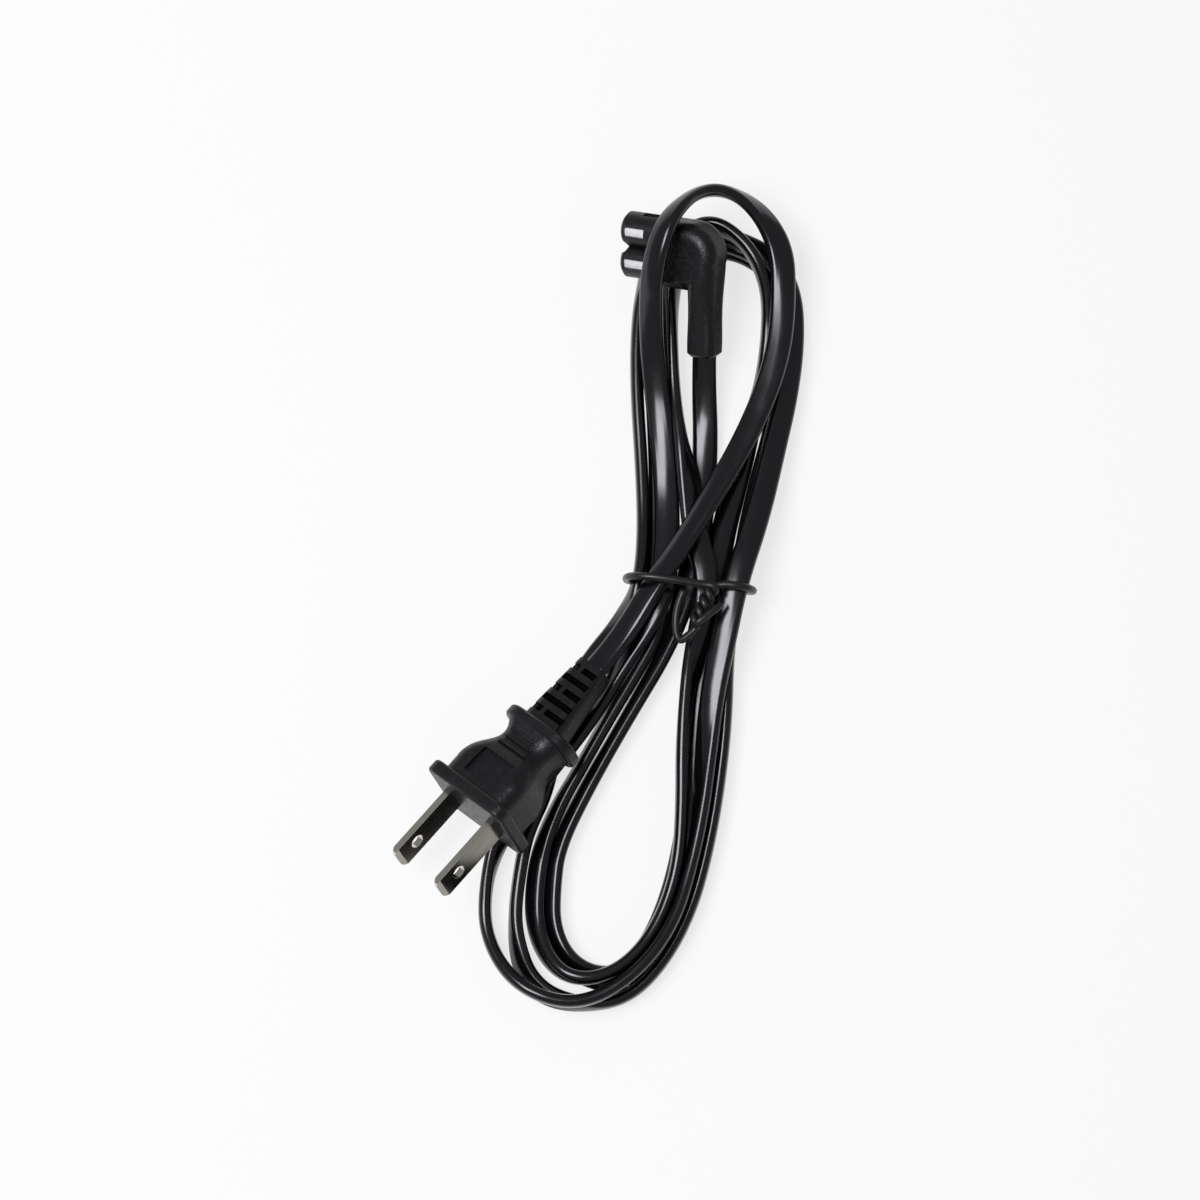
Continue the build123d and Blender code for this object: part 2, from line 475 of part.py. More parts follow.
def twist(phase):
    """One of the two wires wound round the line of the twist."""
    steps = 12
    out = []
    for k in range(steps + 1):
        angle = phase + 2 * pi * TWIST_TURNS * k / steps
        around = across * cos(angle) + above * sin(angle)
        out.append(axis_from + axis * (k / steps) + around * (TIE_R * 1.1))
    return out


tie_points = list(reversed(TIE_TAIL)) + list(reversed(twist(pi / 2))) + TIE_LOOP + twist(-pi / 2)[:11] + TIE_END
twist_tie, tie_length, tie_radii, tie_turns = wire_run(tie_points, TIE_R)

nodes = {
    "plug_housing": PLUG_AT * plug_housing,
    "plug_bridge": PLUG_AT * plug_bridge,
    "blade_left": PLUG_AT * blade_left,
    "blade_right": PLUG_AT * blade_right,
    "plug_core_left": PLUG_AT * plug_core_left,
    "plug_core_right": PLUG_AT * plug_core_right,
    "cord": cord,
    "connector_housing": CONN_PLANE * connector_housing,
    "connector_insert": CONN_PLANE * connector_insert,
    "socket_upper": CONN_PLANE * socket_upper,
    "socket_lower": CONN_PLANE * socket_lower,
    "connector_core_upper": CONN_PLANE * core_upper,
    "connector_core_lower": CONN_PLANE * core_lower,
    "twist_tie": twist_tie,
}
boxes = [solid.bounding_box() for solid in nodes.values()]
low = [min(getattr(b.min, axis_name) for b in boxes) for axis_name in "XYZ"]
high = [max(getattr(b.max, axis_name) for b in boxes) for axis_name in "XYZ"]
shift = (-(low[0] + high[0]) / 2, -(low[1] + high[1]) / 2, -low[2])
os.makedirs("parts", exist_ok=True)
for name, solid in nodes.items():
    export_step(Pos(*shift) * solid, "parts/" + name + ".step")

flat = Polygon(*section, align=None).area
print("shift %.3f %.3f %.3f" % shift, "size %.1f x %.1f x %.1f" % tuple(h - l for l, h in zip(low, high)))
print("cord length %.1f, least bend radius %.1f" % (cord_length, min(cord_radii)))
print("largest turn %.0f" % max(cord_turns))
print("bend radii", " ".join("%.0f" % r for r in cord_radii))
print("volume over section times length %.4f" % (cord.volume / (flat * cord_length)))
print("tie length %.1f, least radius %.1f, largest turn %.0f" % (tie_length, min(tie_radii), max(tie_turns)))
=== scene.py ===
"""Looks of a flat mains cord in a tied hank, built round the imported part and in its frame, in metres."""
import math
from itertools import accumulate

import bpy
import numpy as np
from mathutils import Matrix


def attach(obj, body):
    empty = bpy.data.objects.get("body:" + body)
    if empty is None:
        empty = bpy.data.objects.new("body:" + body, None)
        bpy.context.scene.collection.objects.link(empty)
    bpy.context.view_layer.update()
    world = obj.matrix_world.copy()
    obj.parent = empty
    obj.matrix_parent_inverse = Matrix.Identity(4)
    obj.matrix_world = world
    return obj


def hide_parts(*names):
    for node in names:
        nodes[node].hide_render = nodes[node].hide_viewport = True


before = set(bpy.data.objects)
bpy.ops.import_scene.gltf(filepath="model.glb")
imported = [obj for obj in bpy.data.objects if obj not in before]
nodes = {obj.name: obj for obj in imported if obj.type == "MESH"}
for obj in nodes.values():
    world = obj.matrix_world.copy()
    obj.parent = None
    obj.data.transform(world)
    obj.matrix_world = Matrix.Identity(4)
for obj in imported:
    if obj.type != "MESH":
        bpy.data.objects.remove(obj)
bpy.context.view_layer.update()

# The lists below are in millimetres before the part is stood on its origin
MM = 0.001
STAND = np.array([-0.563, -0.873, 0.018])

# Flat cord: section, steps, how deep its ends sit, and its leads and rolls out of the mouldings
CORD_WIDTH = 5.5
CORD_THICK = 2.58
CORD_EDGE_R = 1.25
CORD_CROWN = 0.16
CORD_STEPS = 12
CORD_SEAT = 0.6
BOOT_END = (22.60, 53.04, 7.95)
BOOT_WAY = (-0.009, -0.885, -0.465)
BOOT_LEAD = 6.5
BOOT_ROLL = 120.6
BOOT_EASE = 4
RELIEF_END = (-1.08, -15.58, 9.56)
PLUG_WAY = (-0.652, -0.748, 0.125)
RELIEF_LEAD = 8.0
RELIEF_ROLL = 117.4

# Strain relief in the plug's own axes: ends, width and height at root and tip, lean, and the depth and margins
# of the shade painted into its slots
PLUG_FACE_AT = (-26.5, -46.5, 15.2)
PLUG_X = (0.720, -0.526, 0.454)
RELIEF_FRONT = 23.2
RELIEF_BACK = 40.4
RELIEF_ROOT = (10.8, 8.0)
RELIEF_TIP = (7.5, 5.8)
RELIEF_LEAN = 1.3
RELIEF_LEAN_EASE = 0.75
SLOT_SHADE_DEPTH = 0.4
SLOT_CLEAR = 0.9
SLOT_END = 0.2

# Route of the cord between its ends: x, y, height and roll, 0 on edge and 90 flat
ROUTE = [
    # lead from the connector down through the tie
    (23.0, 35.5, 1.8, 94), (22.3, 20.5, 2.2, 90), (19.6, 5.5, 4.3, 100), (14.7, -10.0, 3.3, 150),
    (5.7, -25.5, 2.9, 164), (-2.7, -40.0, 2.7, 158), (-9.3, -53.0, 2.6, 150),
    # first bottom loop
    (-10.4, -62.0, 2.5, 146), (-10.5, -69.5, 2.5, 145), (-8.0, -76.0, 2.7, 142), (-3.5, -80.1, 2.4, 124),
    (2.4, -81.3, 1.7, 95), (7.9, -78.3, 1.5, 90), (12.7, -70.9, 1.5, 90), (16.7, -60.0, 1.5, 90),
    (19.5, -45.5, 1.5, 90), (21.5, -31.0, 1.5, 90), (22.5, -18.0, 1.5, 90), (23.5, -6.5, 2.2, 90),
    (25.0, 4.5, 4.1, 90),
    # second top loop
    (26.5, 14.5, 2.4, 90), (29.2, 25.0, 2.1, 86), (32.1, 36.0, 2.9, 48), (35.0, 47.5, 2.8, 5),
    (36.5, 58.0, 3.6, 0), (36.5, 67.0, 6.8, 0), (34.0, 74.0, 9.2, 0), (30.0, 79.0, 9.1, 0),
    (25.0, 81.5, 9.2, 30), (20.5, 80.5, 8.3, 62), (17.0, 76.0, 6.7, 48), (15.7, 68.5, 5.3, 20),
    (15.5, 57.5, 5.2, 0), (16.0, 46.0, 4.2, 0), (17.5, 35.0, 5.6, 8), (19.4, 25.0, 5.7, 62),
    (20.5, 14.0, 6.0, 88), (23.5, 4.0, 7.5, 90),
    # second bottom loop
    (21.5, -7.5, 5.7, 75), (18.5, -19.5, 5.7, 10), (17.5, -32.0, 5.8, 0), (17.5, -44.0, 5.8, 0),
    (16.8, -56.0, 5.8, 0), (14.0, -65.9, 5.8, 0), (9.7, -73.7, 6.2, 0), (4.3, -78.9, 6.9, 0),
    (-2.0, -81.3, 7.4, 5), (-7.5, -80.4, 6.9, 12), (-11.7, -76.0, 4.6, 24), (-14.0, -69.0, 2.7, 33),
    (-13.9, -61.0, 2.6, 35), (-12.5, -53.0, 2.7, 30), (-9.2, -44.5, 2.8, 20), (-3.9, -35.5, 2.8, 12),
    (1.4, -26.0, 2.8, 14), (7.7, -15.5, 2.8, 14), (12.0, -6.5, 3.2, 38), (12.6, 4.5, 4.2, 84),
    # top loop on the floor
    (13.4, 15.5, 2.2, 90), (13.3, 31.0, 1.5, 90), (12.5, 48.0, 1.5, 90), (12.5, 61.0, 1.5, 90),
    (15.5, 72.0, 1.5, 90), (20.0, 77.4, 1.5, 90), (26.0, 78.9, 1.5, 90), (32.5, 77.4, 1.5, 90),
    (38.5, 72.8, 1.5, 90), (41.5, 65.0, 1.5, 90), (41.5, 55.5, 1.5, 90), (40.0, 45.5, 1.7, 85),
    (37.3, 34.5, 2.4, 70), (33.4, 22.0, 2.9, 35), (30.4, 12.0, 3.6, 5), (29.5, 3.0, 5.5, 0),
    # third bottom loop
    (27.5, -10.5, 3.3, 0), (27.0, -27.0, 2.8, 0), (25.0, -43.0, 2.8, 0), (22.5, -55.5, 2.8, 0),
    (19.5, -66.0, 2.8, 0), (14.5, -76.0, 2.8, 0), (7.7, -83.8, 2.8, 0), (0.0, -86.7, 2.8, 0),
    (-10.0, -85.5, 2.5, 40), (-15.5, -81.0, 2.4, 50), (-17.6, -74.5, 2.6, 28), (-18.2, -67.5, 2.8, 6),
    (-17.2, -58.5, 2.8, 6), (-15.5, -50.0, 3.0, 6), (-12.5, -40.5, 2.4, 72), (-10.5, -31.0, 1.6, 90),
    (-7.0, -22.0, 1.5, 90), (-1.5, -13.0, 1.7, 85), (4.5, -5.5, 3.4, 50), (8.5, 3.5, 5.8, 0),
    # third top loop
    (9.5, 15.5, 3.3, 0), (9.0, 30.0, 2.8, 0), (8.0, 45.5, 2.8, 0), (8.0, 58.5, 2.8, 0),
    (9.0, 68.0, 2.8, 5), (11.5, 75.0, 2.8, 40), (16.0, 79.0, 3.8, 80), (23.0, 80.5, 4.5, 90),
    (30.5, 78.6, 4.6, 90), (37.5, 75.0, 4.6, 84), (41.5, 67.5, 4.6, 74), (42.0, 57.0, 4.6, 66),
    (40.5, 45.0, 4.9, 64), (37.5, 32.5, 5.7, 70), (34.0, 18.0, 7.8, 86), (29.0, 3.0, 10.0, 96),
    # front bottom loop
    (26.5, -9.0, 8.0, 106), (24.0, -20.5, 6.4, 108), (22.5, -33.5, 5.9, 130), (21.5, -46.5, 5.8, 166),
    (19.4, -57.5, 6.1, 180), (15.9, -68.8, 7.3, 180), (9.6, -78.1, 8.7, 180), (1.0, -84.6, 8.9, 180),
    (-7.0, -86.4, 8.8, 180), (-15.2, -83.8, 8.5, 180), (-21.0, -78.5, 5.5, 180), (-24.5, -70.5, 2.9, 180),
    (-24.5, -62.0, 2.8, 180), (-22.5, -53.5, 3.2, 158), (-18.5, -46.0, 5.5, 115), (-13.0, -38.5, 5.9, 100),
    (-7.5, -31.5, 5.4, 78), (-2.0, -24.8, 4.4, 42), (1.6, -19.9, 3.2, 22), (4.6, -14.0, 3.8, 38),
    (9.0, -7.0, 6.5, 65), (13.0, 0.0, 8.0, 85), (14.5, 9.5, 6.4, 90),
    # front top loop over the connector's nose
    (14.5, 21.0, 4.6, 86), (14.0, 31.5, 5.0, 80), (12.6, 42.5, 6.0, 72), (11.3, 53.0, 9.4, 63),
    (10.9, 61.5, 14.8, 57), (11.1, 68.5, 21.0, 55), (13.0, 75.8, 24.2, 52), (15.7, 81.2, 23.6, 34),
    (20.2, 86.1, 19.0, 16), (25.5, 88.0, 15.8, 10), (31.2, 86.5, 13.2, 26), (36.3, 82.0, 11.2, 54),
    (39.5, 75.0, 10.2, 82), (39.7, 66.0, 9.6, 94), (39.0, 56.0, 9.2, 96), (36.5, 46.5, 9.0, 99),
    (32.5, 37.0, 8.8, 108), (28.0, 28.5, 9.0, 120), (22.5, 19.5, 9.4, 128), (17.0, 10.5, 9.6, 128),
    (11.5, 2.5, 11.4, 122),
]

# Tie wire: its loop round the bundle, the twist of its two ends and what is left of each
TIE_R = 0.85
TIE_STEPS = 6
TWIST_TURNS = 2.25
TWIST_STEPS = 18
TWIST_CUT = 17
TWIST_SPREAD = 1.1
TWIST_FROM = (24.2, 1.9, 13.2)
TWIST_TO = (19.7, -6.7, 12.8)
TIE_LOOP = [
    (22.2, 2.1, 13.9), (17.2, 2.8, 14.4), (12.3, 3.6, 14.4), (8.6, 4.0, 13.6), (6.3, 4.3, 11.0),
    (5.6, 4.5, 7.0), (5.8, 4.6, 2.9), (7.6, 4.7, 1.0), (11.8, 4.5, 0.9), (19.5, 4.1, 0.9),
    (28.0, 3.2, 0.9), (31.4, 2.6, 1.3), (32.7, 1.9, 4.6), (32.9, 1.5, 9.0), (31.6, 1.6, 12.2),
    (29.2, 2.0, 12.9), (26.6, 2.4, 12.7),
]
TIE_TAIL = [
    (18.4, -9.0, 12.6), (17.0, -9.9, 12.5), (16.1, -8.2, 12.7), (16.1, -4.4, 13.3), (16.9, -1.3, 14.1),
    (17.8, 0.8, 14.7),
]
TIE_END = [(20.4, -6.4, 14.3), (22.0, -5.2, 14.7), (25.7, -2.3, 14.2)]

# Finishes: tint of the plastics' shine, where a noise turns from low to high, how square a face must be to
# take the blades' painted dark reflection
SHINE_TINT = (0.95, 0.93, 1.0)
NOISE_TURN = (0.35, 0.65)
DARK_REFLECTION_FACE = (0.80, 0.95)

# Floor and light, in metres and watts
FLOOR = 1.2
FLOOR_GLOW = 0.75
SKY_COLOUR = (0.96, 0.98, 1, 1)
SKY_STRENGTH = 0.27
KEY_AT = (-0.42, -0.02, 0.98)
KEY_SIZE = 0.50
KEY_POWER = 8.9

# Camera at the photograph's angle
CAMERA_ELEVATION = 82.0
CAMERA_DISTANCE = 0.76
CAMERA_LENS = 106.0
CAMERA_SENSOR = 36.0
CAMERA_TARGET = (-0.00056, -0.00087, 0.005)


def spline_line(rows, resolution):
    """Points along the quadratic NURBS curve whose control points are the rows, read from the curve itself."""
    rows = np.asarray(rows, float)
    data = bpy.data.curves.new("line", "CURVE")
    data.dimensions = "3D"
    data.resolution_u = resolution
    spline = data.splines.new("NURBS")
    spline.points.add(len(rows) - 1)
    spline.points.foreach_set("co", np.c_[rows, np.ones(len(rows))].ravel())
    spline.order_u = 3
    spline.use_endpoint_u = True
    carrier = bpy.data.objects.new("line", data)
    mesh = bpy.data.meshes.new_from_object(carrier)
    points = np.empty(len(mesh.vertices) * 3)
    mesh.vertices.foreach_get("co", points)
    bpy.data.objects.remove(carrier)
    bpy.data.curves.remove(data)
    bpy.data.meshes.remove(mesh)
    return points.reshape(-1, 3)


def unit(vectors):
    """Each row divided by its own length."""
    return vectors / np.linalg.norm(vectors, axis=-1, keepdims=True)


def crowned_oblong(width, thick, radius, crown, per_corner=7, per_flat=5):
    """Outline of the flat cord: four quarter circles joined by flats, which stand proud by the crown times one
    minus the square of the place along the flat."""
    a, b = width / 2 - radius, thick / 2 - radius
    angle = np.linspace(0, np.pi / 2, per_corner)
    arc = np.c_[np.cos(angle), np.sin(angle)] * radius
    place = np.linspace(1, -1, per_flat + 2)[1:-1]
    flat = np.c_[place * a, b + radius + crown * (1 - place ** 2)]
    side = np.c_[np.full(1, -a - radius), np.zeros(1)]
    half = np.vstack([arc + (a, b), flat, arc[::-1] * (-1, 1) + (-a, b), side])
    return np.vstack([half, -half])


def skin(name, rings):
    """Closed mesh over rings of points: quads between neighbouring rings and one face over each end, with a UV
    map of metres along the line and the share of the way round."""
    count, around = rings.shape[:2]
    i = np.arange(count - 1)[:, None] * around
    j = np.arange(around)[None, :]
    k = (j + 1) % around
    corners = np.broadcast_arrays(i + j, i + k, i + around + k, i + around + j)
    quads = np.stack(corners, -1).reshape(-1, 4)
    ends = [list(range(around))[::-1], [(count - 1) * around + n for n in range(around)]]
    mesh = bpy.data.meshes.new(name)
    mesh.from_pydata(rings.reshape(-1, 3), [], quads.tolist() + ends)
    mesh.polygons.foreach_set("use_smooth", np.r_[np.full(len(quads), True), [False, False]])
    middle = rings.mean(axis=1)
    along = np.r_[0, np.cumsum(np.linalg.norm(np.diff(middle, axis=0), axis=1))]
    near, far, low, high = np.broadcast_arrays(along[:-1, None], along[1:, None], j / around, (j + 1) / around)
    sides = np.stack([near, low, near, high, far, high, far, low], -1).reshape(-1)
    uv = mesh.uv_layers.new(name="along")
    uv.data.foreach_set("uv", np.r_[sides, np.zeros(4 * around)])
    mesh.update()
    obj = bpy.data.objects.new(name, mesh)
    bpy.context.scene.collection.objects.link(obj)
    return obj


def flat_cord_rings(line, rolls):
    """Flat section set square to the line at each point and rolled about it: the width runs along up turned by
    the roll towards the right of travel, and the thickness along travel crossed with the width."""
    travel = unit(np.gradient(line, axis=0))
    up = unit(np.array([0, 0, 1.0]) - travel * travel[:, 2:3])
    side = np.cross(travel, up)
    angle = np.radians(rolls)[:, None]
    wide = np.cos(angle) * up + np.sin(angle) * side
    thin = np.cross(travel, wide)
    outline = crowned_oblong(CORD_WIDTH * MM, CORD_THICK * MM, CORD_EDGE_R * MM, CORD_CROWN * MM)
    return line[:, None] + wide[:, None] * outline[:, :1] + thin[:, None] * outline[:, 1:]


def wire_rings(line, radius, around=16):
    """Circle set square to the line at each point: its first spoke is the ring before's, made square again."""
    travel = unit(np.gradient(line, axis=0))
    first = np.cross(travel[0], (0.3, 0.2, 1.0))
    spokes = accumulate(travel, lambda last, way: unit(last - way * (last @ way)), initial=unit(first))
    spoke = np.array(list(spokes)[1:])
    other = np.cross(travel, spoke)
    angle = np.linspace(0, 2 * np.pi, around, endpoint=False)[None, :, None]
    return line[:, None] + radius * (np.cos(angle) * spoke[:, None] + np.sin(angle) * other[:, None])


def in_frame(rows):
    """Millimetre points of the part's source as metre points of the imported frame."""
    return (np.asarray(rows, float) + STAND) * MM


# Cord
route = np.array(ROUTE, float)
boot_end, boot_way = np.array(BOOT_END), np.array(BOOT_WAY)
relief_end, plug_way = np.array(RELIEF_END), np.array(PLUG_WAY)
knots = np.vstack([boot_end - CORD_SEAT * boot_way, boot_end + BOOT_LEAD * boot_way, route[:, :3],
                   relief_end - RELIEF_LEAD * plug_way, relief_end + CORD_SEAT * plug_way])
rolls = np.r_[BOOT_ROLL, BOOT_ROLL - BOOT_EASE, route[:, 3], RELIEF_ROLL, RELIEF_ROLL]
cord_line = spline_line(in_frame(knots), CORD_STEPS)
cord_rolls = spline_line(np.c_[rolls * MM, np.zeros((len(rolls), 2))], CORD_STEPS)[:, 0] / MM
cord = skin("flat_cord", flat_cord_rings(cord_line, cord_rolls))
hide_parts("cord")
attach(cord, "root")


# Tie wire
def twisted(phase):
    """One wire of the twist: a helix round the straight line from the knot to the twist's end."""
    share = np.linspace(0, 1, TWIST_STEPS + 1)[:, None]
    axis = np.array(TWIST_TO) - TWIST_FROM
    along = unit(axis)
    across = unit(np.cross(along, (0, 0, 1.0)))
    above = np.cross(across, along)
    angle = phase + 2 * np.pi * TWIST_TURNS * share
    spoke = across * np.cos(angle) + above * np.sin(angle)
    return np.array(TWIST_FROM) + axis * share + spoke * TIE_R * TWIST_SPREAD


tie_rows = np.vstack([TIE_TAIL[::-1], twisted(np.pi / 2)[::-1], TIE_LOOP, twisted(-np.pi / 2)[:TWIST_CUT],
                      TIE_END])
tie = skin("tie_wire", wire_rings(spline_line(in_frame(tie_rows), TIE_STEPS), TIE_R * MM))
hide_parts("twist_tie")
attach(tie, "root")


# Finishes
def finish_of(name, colour, roughness, metallic=0.0, specular=0.5):
    """Principled finish of one plain colour."""
    material = bpy.data.materials.new(name)
    material.use_nodes = True
    shader = material.node_tree.nodes["Principled BSDF"]
    shader.inputs["Base Color"].default_value = (*colour, 1)
    shader.inputs["Roughness"].default_value = roughness
    shader.inputs["Metallic"].default_value = metallic
    shader.inputs["Specular IOR Level"].default_value = specular
    return material


def math_node(tree, kind, *values):
    """Math node of one kind over numbers or other nodes' outputs; gives its output."""
    node = tree.nodes.new("ShaderNodeMath")
    node.operation = kind
    for socket, value in zip(node.inputs, values):
        if isinstance(value, (int, float)):
            socket.default_value = value
        else:
            tree.links.new(value, socket)
    return node.outputs[0]


def dot_node(tree, vector, axis):
    """Dot product of another node's vector and a set axis; gives its output."""
    node = tree.nodes.new("ShaderNodeVectorMath")
    node.operation = "DOT_PRODUCT"
    node.inputs[1].default_value = axis
    tree.links.new(vector, node.inputs[0])
    return node.outputs["Value"]


def ramp_node(tree, factor, places, low, high):
    """Ramp between two numbers or colours, from one place of the factor to another; gives its output."""
    ramp = tree.nodes.new("ShaderNodeValToRGB")
    for stop, place, value in zip(ramp.color_ramp.elements, places, (low, high)):
        stop.position = place
        stop.color = (*np.broadcast_to(value, 3), 1)
    tree.links.new(factor, ramp.inputs["Fac"])
    return ramp.outputs["Color"]


def cloud(material, where, scale, stretch=(1, 1, 1), turn=0.0, detail=2.0):
    """Noise on Object or UV coordinates, turned about the vertical and drawn out along each axis by the
    stretch."""
    tree = material.node_tree
    place = tree.nodes.new("ShaderNodeTexCoord")
    mapping = tree.nodes.new("ShaderNodeMapping")
    mapping.vector_type = "TEXTURE"
    mapping.inputs["Rotation"].default_value = (0, 0, turn)
    mapping.inputs["Scale"].default_value = stretch
    noise = tree.nodes.new("ShaderNodeTexNoise")
    noise.inputs["Scale"].default_value = scale
    noise.inputs["Detail"].default_value = detail
    tree.links.new(place.outputs[where], mapping.inputs["Vector"])
    tree.links.new(mapping.outputs["Vector"], noise.inputs["Vector"])
    return noise.outputs["Fac"]


def vary(material, noise, socket, low, high):
    """Drives one shader input between two values, numbers or colours, by the noise."""
    tree = material.node_tree
    ramp = ramp_node(tree, noise, NOISE_TURN, low, high)
    tree.links.new(ramp, tree.nodes["Principled BSDF"].inputs[socket])


def emboss(material, *layers):
    """Bumps one over the other, each a noise and its height in metres, into the shader's normal."""
    tree = material.node_tree
    normal = None
    for noise, height in layers:
        bump = tree.nodes.new("ShaderNodeBump")
        bump.inputs["Strength"].default_value = 1.0
        bump.inputs["Distance"].default_value = height
        tree.links.new(noise, bump.inputs["Height"])
        if normal:
            tree.links.new(normal, bump.inputs["Normal"])
        normal = bump.outputs["Normal"]
    tree.links.new(normal, tree.nodes["Principled BSDF"].inputs["Normal"])


def tint_shine(material, colour):
    """Gives the plastic's shine a slight tint."""
    material.node_tree.nodes["Principled BSDF"].inputs["Specular Tint"].default_value = (*colour, 1)


def paint_dark_face_reflection(material, axis, colour):
    """Paints a dark reflection onto the broad faces, those square to the axis: a darker base colour than the
    edges.
    """
    tree = material.node_tree
    base = tree.nodes["Principled BSDF"].inputs["Base Color"]
    facing = tree.nodes.new("ShaderNodeNewGeometry").outputs["True Normal"]
    square = math_node(tree, "ABSOLUTE", dot_node(tree, facing, unit(np.array(axis))))
    tree.links.new(ramp_node(tree, square, DARK_REFLECTION_FACE, tuple(base.default_value)[:3], colour), base)


def paint_slot_shade(material, specular):
    """Paints shade into the strain relief's slots: takes the shine off all that lies deeper than a set depth
    under its tapered top, between its ends and clear of its sides, in the plug's own axes."""
    tree = material.node_tree
    place = tree.nodes.new("ShaderNodeTexCoord").outputs["Object"]

    def node(kind, *values):
        return math_node(tree, kind, *values)

    def along(axis):
        return node("SUBTRACT", dot_node(tree, place, axis), float(np.dot(axis, in_frame(PLUG_FACE_AT))))

    def tapered(root, tip, less):
        """Half of a size that runs from root to tip, less a margin."""
        return node("MULTIPLY_ADD", share, 0.5 * (root - tip) * MM, (0.5 * tip - less) * MM)

    out = unit(np.array(PLUG_WAY))
    wide = unit(np.array(PLUG_X) - out * np.dot(PLUG_X, out))
    back = node("MULTIPLY", along(out), -1.0)
    up, across = along(np.cross(out, wide)), along(wide)
    share = node("DIVIDE", node("SUBTRACT", RELIEF_BACK * MM, back), (RELIEF_BACK - RELIEF_FRONT) * MM)
    top = tapered(RELIEF_ROOT[1], RELIEF_TIP[1], SLOT_SHADE_DEPTH)
    half = tapered(RELIEF_ROOT[0], RELIEF_TIP[0], SLOT_CLEAR)
    lean = node("MULTIPLY_ADD", share, RELIEF_LEAN_EASE * RELIEF_LEAN * MM, -RELIEF_LEAN * MM)
    inside = node("LESS_THAN", node("ABSOLUTE", node("SUBTRACT", across, lean)), half)
    inside = node("MULTIPLY", inside, node("LESS_THAN", node("ABSOLUTE", up), top))
    inside = node("MULTIPLY", inside, node("GREATER_THAN", back, (RELIEF_FRONT + SLOT_END) * MM))
    inside = node("MULTIPLY", inside, node("LESS_THAN", back, (RELIEF_BACK - SLOT_END) * MM))
    # Painted shade: the shine drops to nothing inside the slots
    shine = node("MULTIPLY", node("SUBTRACT", 1.0, inside), specular)
    tree.links.new(shine, tree.nodes["Principled BSDF"].inputs["Specular IOR Level"])


def dress(obj, material):
    """Gives one object a single material."""
    obj.data.materials.clear()
    obj.data.materials.append(material)


cord_pvc = finish_of("extruded_pvc", (0.0028, 0.0028, 0.0036), 0.20, specular=0.6)
emboss(cord_pvc, (cloud(cord_pvc, "UV", 1.0, (0.03, 0.03, 1)), 0.000002),
       (cloud(cord_pvc, "Object", 500.0), 0.000002))
vary(cord_pvc, cloud(cord_pvc, "Object", 160.0), "Roughness", 0.17, 0.23)
tint_shine(cord_pvc, SHINE_TINT)

moulding = finish_of("satin_moulding", (0.0032, 0.0032, 0.0038), 0.40)
emboss(moulding, (cloud(moulding, "Object", 2400.0, detail=3.0), 0.00008))
vary(moulding, cloud(moulding, "Object", 900.0, detail=4.0), "Roughness", 0.32, 0.44)
# Painted shade in the strain relief's slots
paint_slot_shade(moulding, 0.45)
tint_shine(moulding, SHINE_TINT)

blade_plate = finish_of("nickel_plate", (0.68, 0.65, 0.58), 0.16, metallic=1.0)
BLADE_TURN = math.atan2(PLUG_WAY[1], PLUG_WAY[0])
emboss(blade_plate, (cloud(blade_plate, "Object", 2600.0, (20, 1, 1), BLADE_TURN), 0.0000003))
vary(blade_plate, cloud(blade_plate, "Object", 1600.0, (14, 1, 1), BLADE_TURN), "Roughness", 0.16, 0.20)
# Painted reflection: the blades' broad faces get a darker colour that stands in for the dark surroundings they
# mirror
paint_dark_face_reflection(blade_plate, PLUG_X, (0.26, 0.245, 0.21))

carrier_resin = finish_of("pale_carrier", (0.80, 0.81, 0.82), 0.42)
vary(carrier_resin, cloud(carrier_resin, "Object", 800.0), "Base Color",
     (0.74, 0.76, 0.78), (0.84, 0.85, 0.86))

contact_brass = finish_of("contact_brass", (0.80, 0.60, 0.28), 0.30, metallic=1.0)
vary(contact_brass, cloud(contact_brass, "Object", 900.0), "Roughness", 0.24, 0.38)

core_copper = finish_of("core_copper", (0.85, 0.48, 0.30), 0.35, metallic=1.0)
vary(core_copper, cloud(core_copper, "Object", 1200.0), "Roughness", 0.28, 0.45)

tie_cover = finish_of("tie_cover", (0.008, 0.008, 0.009), 0.36)
emboss(tie_cover, (cloud(tie_cover, "Object", 1500.0), 0.00003))
vary(tie_cover, cloud(tie_cover, "Object", 500.0), "Roughness", 0.30, 0.44)

dress(cord, cord_pvc)
dress(tie, tie_cover)
for name, material in (
        ("plug_housing", moulding), ("connector_housing", moulding),
        ("blade_left", blade_plate), ("blade_right", blade_plate),
        ("plug_bridge", carrier_resin), ("connector_insert", carrier_resin),
        ("socket_upper", contact_brass), ("socket_lower", contact_brass),
        ("plug_core_left", core_copper), ("plug_core_right", core_copper),
        ("connector_core_upper", core_copper), ("connector_core_lower", core_copper)):
    dress(nodes[name], material)


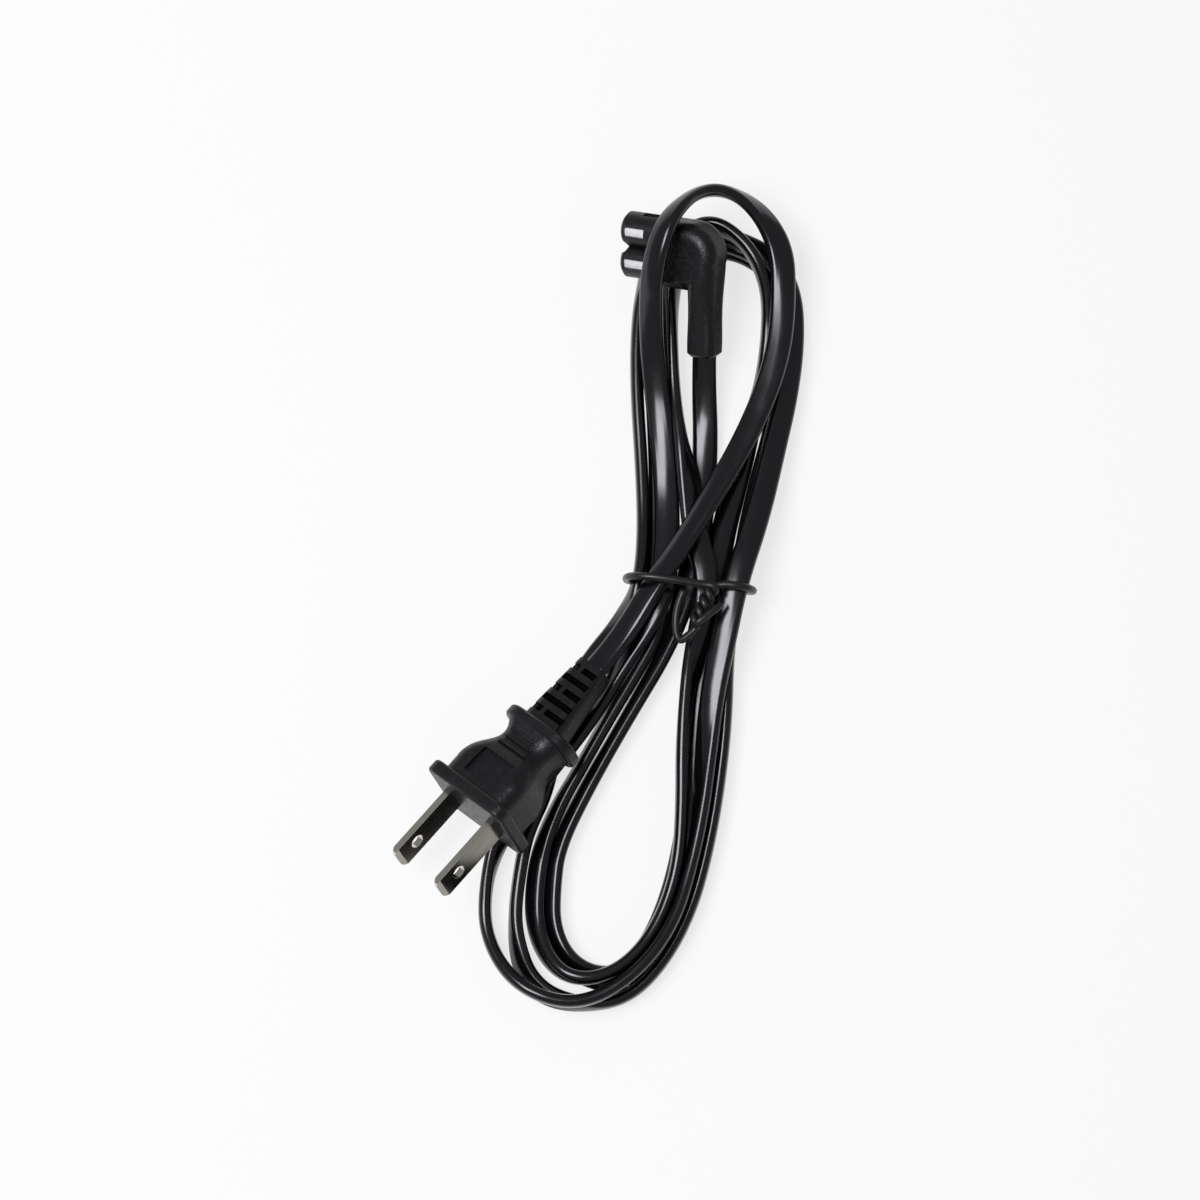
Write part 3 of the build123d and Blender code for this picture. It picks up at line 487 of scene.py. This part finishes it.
# Floor and light
def pale_floor(glow):
    """Matt pale floor that also shows plain white, by the given share, to the camera and in reflections."""
    material = finish_of("pale_floor", (0.92, 0.92, 0.92), 0.9, specular=0.1)
    tree = material.node_tree
    rays = tree.nodes.new("ShaderNodeLightPath").outputs
    seen = rays["Is Camera Ray"]
    for kind in ("Is Glossy Ray", "Is Transmission Ray"):
        seen = math_node(tree, "MAXIMUM", seen, rays[kind])
    white = tree.nodes.new("ShaderNodeEmission")
    mix = tree.nodes.new("ShaderNodeMixShader")
    tree.links.new(math_node(tree, "MULTIPLY", seen, glow), mix.inputs["Fac"])
    tree.links.new(tree.nodes["Principled BSDF"].outputs["BSDF"], mix.inputs[1])
    tree.links.new(white.outputs["Emission"], mix.inputs[2])
    tree.links.new(mix.outputs["Shader"], tree.nodes["Material Output"].inputs["Surface"])
    return material


floor_corners = [(-FLOOR, -FLOOR, 0), (FLOOR, -FLOOR, 0), (FLOOR, FLOOR, 0), (-FLOOR, FLOOR, 0)]
floor_mesh = bpy.data.meshes.new("floor")
floor_mesh.from_pydata(floor_corners, [], [(0, 1, 2, 3)])
floor = bpy.data.objects.new("floor", floor_mesh)
bpy.context.scene.collection.objects.link(floor)
dress(floor, pale_floor(FLOOR_GLOW))

world = bpy.data.worlds.new("studio")
bpy.context.scene.world = world
world.use_nodes = True
sky = world.node_tree.nodes["Background"]
sky.inputs["Color"].default_value = SKY_COLOUR
sky.inputs["Strength"].default_value = SKY_STRENGTH


def softbox(name, at, size, power):
    """Square lamp at a place, turned to the hank."""
    data = bpy.data.lights.new(name, "AREA")
    data.shape = "SQUARE"
    data.size = size
    data.energy = power
    lamp = bpy.data.objects.new(name, data)
    lamp.location = at
    away = unit(np.array(at) - CAMERA_TARGET)
    lamp.rotation_euler = (math.acos(away[2]), 0, math.atan2(away[0], -away[1]))
    bpy.context.scene.collection.objects.link(lamp)


softbox("key", KEY_AT, KEY_SIZE, KEY_POWER)

# Camera
camera_data = bpy.data.cameras.new("camera")
camera_data.sensor_width = CAMERA_SENSOR
camera_data.lens = CAMERA_LENS
camera = bpy.data.objects.new("camera", camera_data)
tilt = math.radians(CAMERA_ELEVATION)
camera.location = np.array(CAMERA_TARGET) + CAMERA_DISTANCE * np.array([0, -math.cos(tilt), math.sin(tilt)])
camera.rotation_euler = (math.pi / 2 - tilt, 0, 0)
bpy.context.scene.collection.objects.link(camera)
bpy.context.scene.camera = camera
bpy.context.scene.view_settings.view_transform = "Standard"
